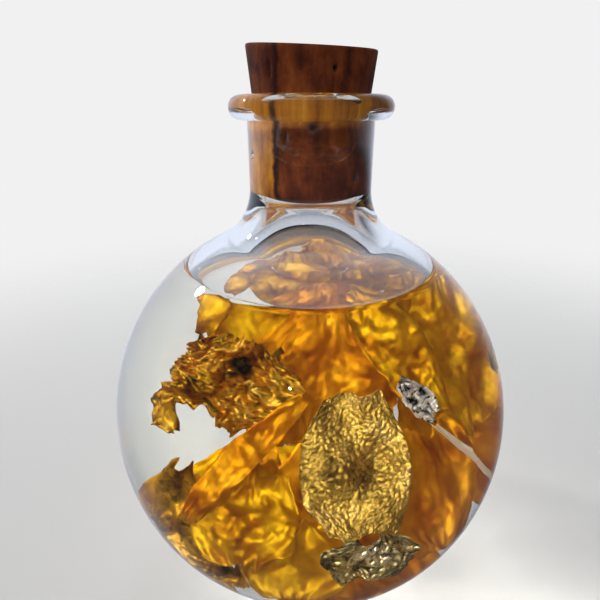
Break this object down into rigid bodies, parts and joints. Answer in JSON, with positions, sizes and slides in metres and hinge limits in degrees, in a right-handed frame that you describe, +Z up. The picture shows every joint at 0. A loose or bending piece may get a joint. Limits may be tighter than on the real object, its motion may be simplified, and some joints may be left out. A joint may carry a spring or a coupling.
{
  "type": "gold sample vial",
  "caption": "Ball-shaped glass bottle with a short lipped neck and a tapered cork, filled with clear liquid in which crumpled gold leaf hangs.",
  "frame": {"origin": "middle of the flat foot, on the surface that the vial stands on", "axes": "+Z up along the axis of the neck and the ball; -Y is the front, +X is to the right seen from the front"},
  "size_m": [0.038, 0.038, 0.05],
  "materials": {
    "clear_glass": "fire polished, clear",
    "cork": "natural cork, pitted and streaked",
    "clear_liquid": "clear",
    "gold_leaf": "crumpled leaf, bright"
  },
  "bodies": {
    "bottle": {"glass_bottle": "clear_glass"},
    "stopper": {"cork_stopper": "cork"},
    "contents": {"liquid_fill": "clear_liquid", "leaf_oval_front": "gold_leaf", "leaf_ribbon_front": "gold_leaf", "leaf_crumpled_left": "gold_leaf", "leaf_scrap_left": "gold_leaf", "leaf_ribbon_right": "gold_leaf", "leaf_sparkle_right": "gold_leaf", "leaf_strip_right": "gold_leaf", "leaf_sheet_low_right": "gold_leaf", "leaf_sheet_low_left": "gold_leaf", "leaf_curl_low_front": "gold_leaf", "leaf_sheet_low_front": "gold_leaf", "leaf_scrap_low_left": "gold_leaf", "leaf_strip_low_left": "gold_leaf", "leaf_ribbon_low_left": "gold_leaf", "leaf_ribbon_low_front": "gold_leaf", "leaf_sheet_middle": "gold_leaf", "leaf_sheet_high_right": "gold_leaf", "leaf_sheet_low_middle": "gold_leaf", "leaf_strip_high_left": "gold_leaf", "leaf_sheet_inner_left": "gold_leaf", "leaf_scrap_right": "gold_leaf", "leaf_sheet_high_back": "gold_leaf", "leaf_sheet_back_left": "gold_leaf", "leaf_sheet_back_middle": "gold_leaf", "leaf_sheet_back_right": "gold_leaf", "leaf_sheet_far_right": "gold_leaf", "leaf_settled_left": "gold_leaf", "leaf_settled_right": "gold_leaf", "leaf_settled_back": "gold_leaf"}
  },
  "joints": [
    {"name": "stopper_pull", "type": "slide", "parent": "bottle", "child": "stopper", "axis": [0, 0, 1], "range_m": [0, 0.012]},
    {"name": "contents_swirl", "type": "hinge", "parent": "bottle", "child": "contents", "pos_m": [0, 0, 0.0175], "axis": [0, 0, 1], "continuous": true}
  ]
}
